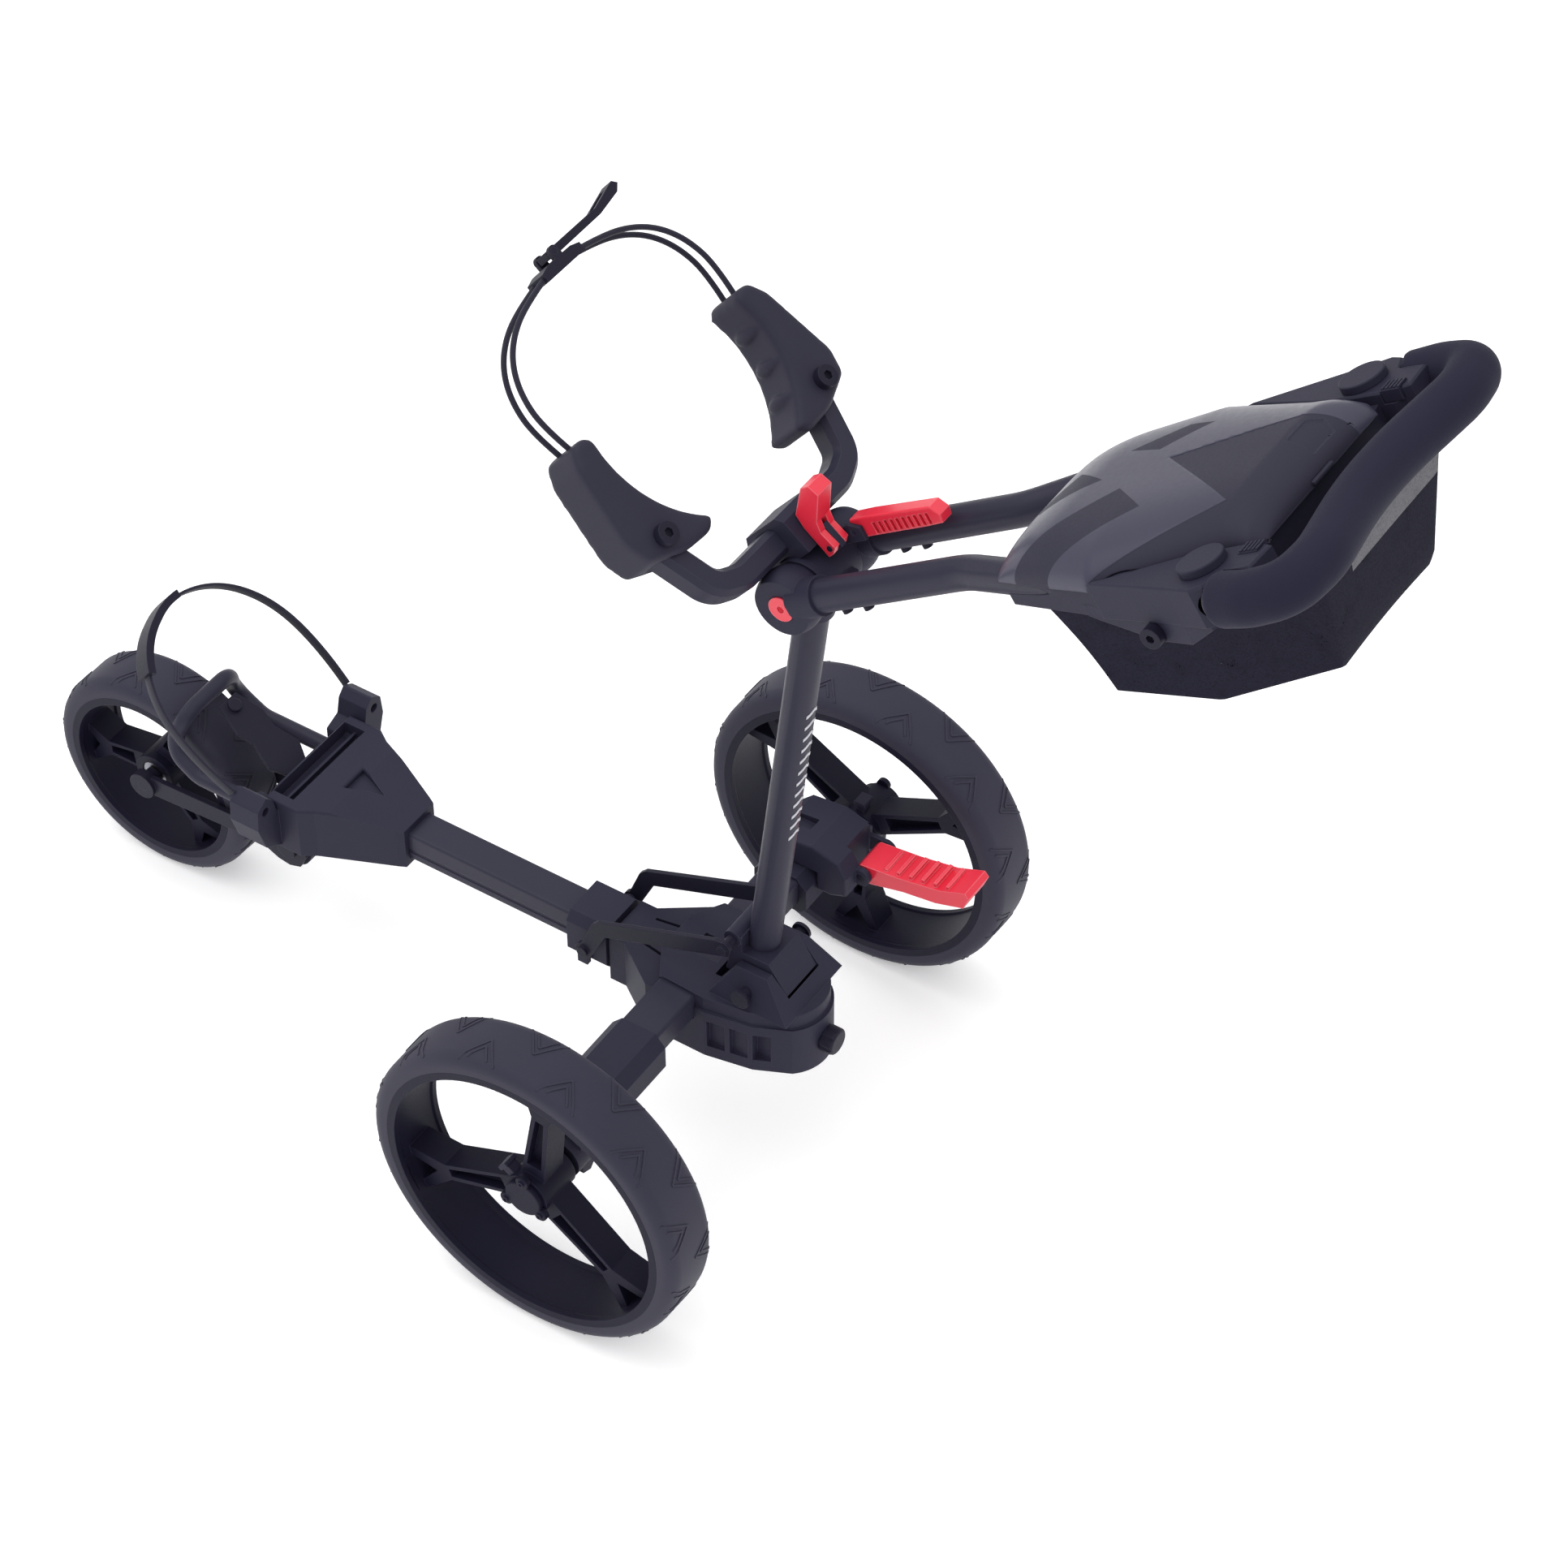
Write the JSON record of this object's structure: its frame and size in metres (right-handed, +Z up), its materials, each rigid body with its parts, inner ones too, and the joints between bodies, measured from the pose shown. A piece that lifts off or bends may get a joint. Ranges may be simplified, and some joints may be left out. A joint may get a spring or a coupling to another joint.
{
  "type": "golf bag push cart",
  "caption": "Folding three-wheel push cart for a golf bag: raked mast, bag cradles, bowed foam handle, lidded console, net bag, foot brake.",
  "frame": {"origin": "centre of the bounding box's bottom, on the ground under the cart's middle", "axes": "+Z up; +Y rearward, toward the handle; +X to the cart's left"},
  "size_m": [0.545, 1.2559, 0.9979],
  "materials": {
    "tyre": "matte moulded tread",
    "wheel_plastic": "satin",
    "steel": "satin",
    "red_plastic": "gloss",
    "painted_tube": "satin powder coat",
    "foam": "fine foam",
    "pad_rubber": "soft matte",
    "elastic": "woven elastic",
    "net_fabric": "fine mesh",
    "lid_plastic": "gloss and matte facets",
    "body_plastic": "fine moulded texture"
  },
  "bodies": {
    "chassis": {"chassis_body": "body_plastic", "tail_knob": "body_plastic", "front_tube": "painted_tube", "axle_beam": "painted_tube", "axle_sleeves": "body_plastic", "brake_housing": "body_plastic", "frame_pins": "steel", "lower_bracket": "body_plastic", "bracket_hoop": "painted_tube", "hoop_plate": "painted_tube", "lower_strap": "elastic", "strap_tab": "body_plastic"},
    "brake": {"brake_pedal": "red_plastic"},
    "left_carrier": {"wheel_carrier_left": "body_plastic"},
    "right_carrier": {"wheel_carrier_right": "body_plastic"},
    "left_wheel": {"left_tyre": "tyre", "left_rim": "wheel_plastic", "left_bearings": "steel", "left_hub_cap": "body_plastic"},
    "right_wheel": {"right_tyre": "tyre", "right_rim": "wheel_plastic", "right_bearings": "steel", "right_hub_cap": "body_plastic"},
    "left_release": {"left_release_tab": "body_plastic"},
    "right_release": {"right_release_tab": "body_plastic"},
    "fork": {"fork_arms": "painted_tube", "fork_discs": "body_plastic", "fork_pins": "steel"},
    "front_wheel": {"front_tyre": "tyre", "front_rim": "wheel_plastic", "front_bearings": "steel"},
    "collar": {"slide_collar": "body_plastic"},
    "links": {"link_bars": "painted_tube"},
    "mast": {"mast_foot": "body_plastic", "mast_tube": "painted_tube", "hub_core": "body_plastic"},
    "cradle": {"cradle_bar": "painted_tube", "cradle_block": "body_plastic", "cradle_pads": "pad_rubber", "cradle_fasteners": "steel", "strap_cords": "elastic", "strap_buckle": "body_plastic"},
    "strap_lever": {"strap_lever": "body_plastic"},
    "tilt_lever": {"tilt_lever": "red_plastic"},
    "handle": {"handle_knuckles": "body_plastic", "pivot_bolt": "steel", "pivot_caps": "red_plastic", "handle_tubes": "painted_tube", "grip_core": "painted_tube", "grip_foam": "foam", "console_tray": "body_plastic", "handle_screws": "steel", "net_bag": "net_fabric", "lever_pin": "body_plastic"},
    "lid": {"console_lid": "lid_plastic"},
    "left_dock": {"dock_disc_left": "body_plastic"},
    "right_dock": {"dock_disc_right": "body_plastic"},
    "left_button": {"grip_button_left": "body_plastic"},
    "right_button": {"grip_button_right": "body_plastic"},
    "release_lever": {"release_lever": "red_plastic"}
  },
  "joints": [
    {"name": "left_wheel_fold", "type": "hinge", "parent": "chassis", "child": "left_carrier", "pos_m": [0.186, 0.05705, 0.176], "axis": [0, 1, 0], "range_deg": [0, 60]},
    {"name": "right_wheel_fold", "type": "hinge", "parent": "chassis", "child": "right_carrier", "pos_m": [-0.186, 0.05705, 0.176], "axis": [0, -1, 0], "range_deg": [0, 60]},
    {"name": "left_wheel_spin", "type": "hinge", "parent": "left_carrier", "child": "left_wheel", "pos_m": [0.244, 0.05705, 0.1485], "axis": [1, 0, 0], "continuous": true},
    {"name": "right_wheel_spin", "type": "hinge", "parent": "right_carrier", "child": "right_wheel", "pos_m": [-0.244, 0.05705, 0.1485], "axis": [1, 0, 0], "continuous": true},
    {"name": "left_release_press", "type": "slide", "parent": "left_wheel", "child": "left_release", "axis": [0, 0.788, -0.6157], "range_m": [0, 0.003], "stiffness_N_per_m": 400, "springref_m": -0.003},
    {"name": "right_release_press", "type": "slide", "parent": "right_wheel", "child": "right_release", "axis": [0, -0.0349, -0.9994], "range_m": [0, 0.003], "stiffness_N_per_m": 400, "springref_m": -0.003},
    {"name": "brake_press", "type": "hinge", "parent": "chassis", "child": "brake", "pos_m": [-0.157, 0.11705, 0.2], "axis": [1, 0, 0], "range_deg": [-12, 0]},
    {"name": "fork_fold", "type": "hinge", "parent": "chassis", "child": "fork", "pos_m": [0, -0.36295, 0.112], "axis": [1, 0, 0], "range_deg": [0, 150]},
    {"name": "front_wheel_spin", "type": "hinge", "parent": "fork", "child": "front_wheel", "pos_m": [0, -0.52395, 0.104], "axis": [1, 0, 0], "continuous": true},
    {"name": "mast_fold", "type": "hinge", "parent": "chassis", "child": "mast", "pos_m": [0, 0.11705, 0.215], "axis": [1, 0, 0], "range_deg": [0, 55]},
    {"name": "collar_slide", "type": "slide", "parent": "chassis", "child": "collar", "axis": [0, -1, 0], "range_m": [0, 0.0385]},
    {"name": "link_turn", "type": "hinge", "parent": "collar", "child": "links", "pos_m": [0, -0.04595, 0.17], "axis": [1, 0, 0], "range_deg": [-14, 0]},
    {"name": "cradle_tilt", "type": "hinge", "parent": "mast", "child": "cradle", "pos_m": [0, 0.16232, 0.67195], "axis": [1, 0, 0], "range_deg": [-12, 12]},
    {"name": "tilt_lever_turn", "type": "hinge", "parent": "cradle", "child": "tilt_lever", "pos_m": [0, 0.17777, 0.70768], "axis": [1, 0, 0], "range_deg": [-50, 0]},
    {"name": "strap_lever_turn", "type": "hinge", "parent": "cradle", "child": "strap_lever", "pos_m": [0, -0.07551, 0.86315], "axis": [0, 0.6225, 0.7826], "range_deg": [0, 100]},
    {"name": "handle_fold", "type": "hinge", "parent": "mast", "child": "handle", "pos_m": [0, 0.16232, 0.67195], "axis": [1, 0, 0], "range_deg": [-95, 0]},
    {"name": "lid_open", "type": "hinge", "parent": "handle", "child": "lid", "pos_m": [0, 0.35146, 0.81165], "axis": [1, 0, 0], "range_deg": [0, 75]},
    {"name": "left_dock_turn", "type": "hinge", "parent": "handle", "child": "left_dock", "pos_m": [0.111, 0.53462, 0.94239], "axis": [0, -0.5664, 0.8241], "range_deg": [0, 90]},
    {"name": "right_dock_turn", "type": "hinge", "parent": "handle", "child": "right_dock", "pos_m": [-0.111, 0.53462, 0.94239], "axis": [0, -0.5664, 0.8241], "range_deg": [-90, 0]},
    {"name": "left_button_press", "type": "slide", "parent": "handle", "child": "left_button", "axis": [-1, 0, 0], "range_m": [0, 0.004], "stiffness_N_per_m": 400, "springref_m": -0.003},
    {"name": "right_button_press", "type": "slide", "parent": "handle", "child": "right_button", "axis": [1, 0, 0], "range_m": [0, 0.004], "stiffness_N_per_m": 400, "springref_m": -0.003},
    {"name": "release_lift", "type": "hinge", "parent": "handle", "child": "release_lever", "pos_m": [-0.0215, 0.1856, 0.71222], "axis": [1, 0, 0], "range_deg": [0, 20], "stiffness_Nm_per_rad": 0.3, "springref_deg": -11.46}
  ],
  "couplings": [
    {"joint": "collar_slide", "follows": "mast_fold", "m_per_rad": 0.0397},
    {"joint": "link_turn", "follows": "mast_fold", "ratio": -0.2415}
  ]
}
